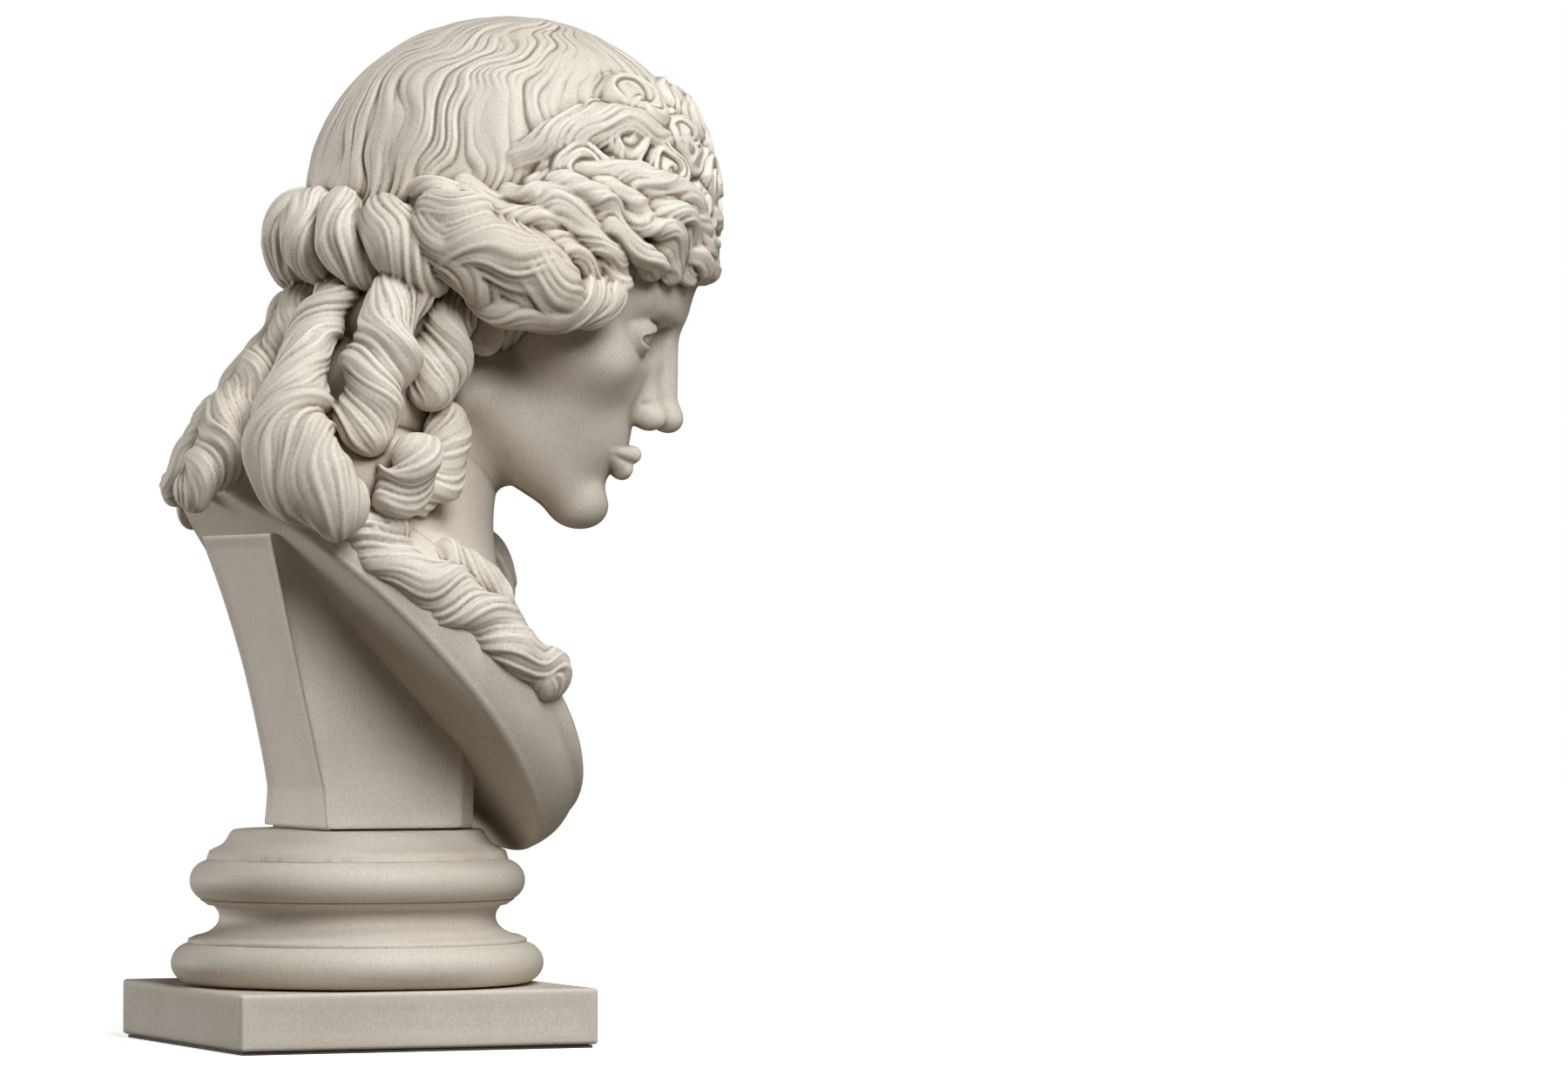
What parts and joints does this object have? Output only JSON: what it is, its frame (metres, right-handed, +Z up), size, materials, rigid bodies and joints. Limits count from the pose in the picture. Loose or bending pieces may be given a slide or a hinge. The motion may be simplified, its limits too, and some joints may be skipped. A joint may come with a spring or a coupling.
{
  "type": "marble portrait-style bust",
  "caption": "Marble bust of a bowed head with long curled hair, on a leaning oval chest, a rear pillar, a turned socle and a square plinth.",
  "frame": {"origin": "centre of the flat underside that the bust stands on", "axes": "+Z up; the figure faces -Y; +X is the figure's left"},
  "size_m": [0.2934, 0.3455, 0.6067],
  "materials": {
    "marble": "honed, matte",
    "marble_base": "honed, matte",
    "steel": "plain stainless",
    "brass": "plain",
    "grout": "set lime grout",
    "felt": "pressed felt"
  },
  "bodies": {
    "root": {"head": "marble", "chest_shell": "marble", "support_pillar": "marble", "socle": "marble_base", "plinth": "marble_base", "felt_base": "felt", "lower_bed": "grout", "upper_bed": "grout", "threaded_rod": "steel", "plate_washer": "steel", "clamp_nut": "steel", "anchor_sleeve": "brass", "lower_locating_pin": "steel", "upper_locating_pin": "steel", "neck_dowel": "steel", "shell_pin_right": "brass", "shell_pin_left": "brass"}
  },
  "joints": []
}
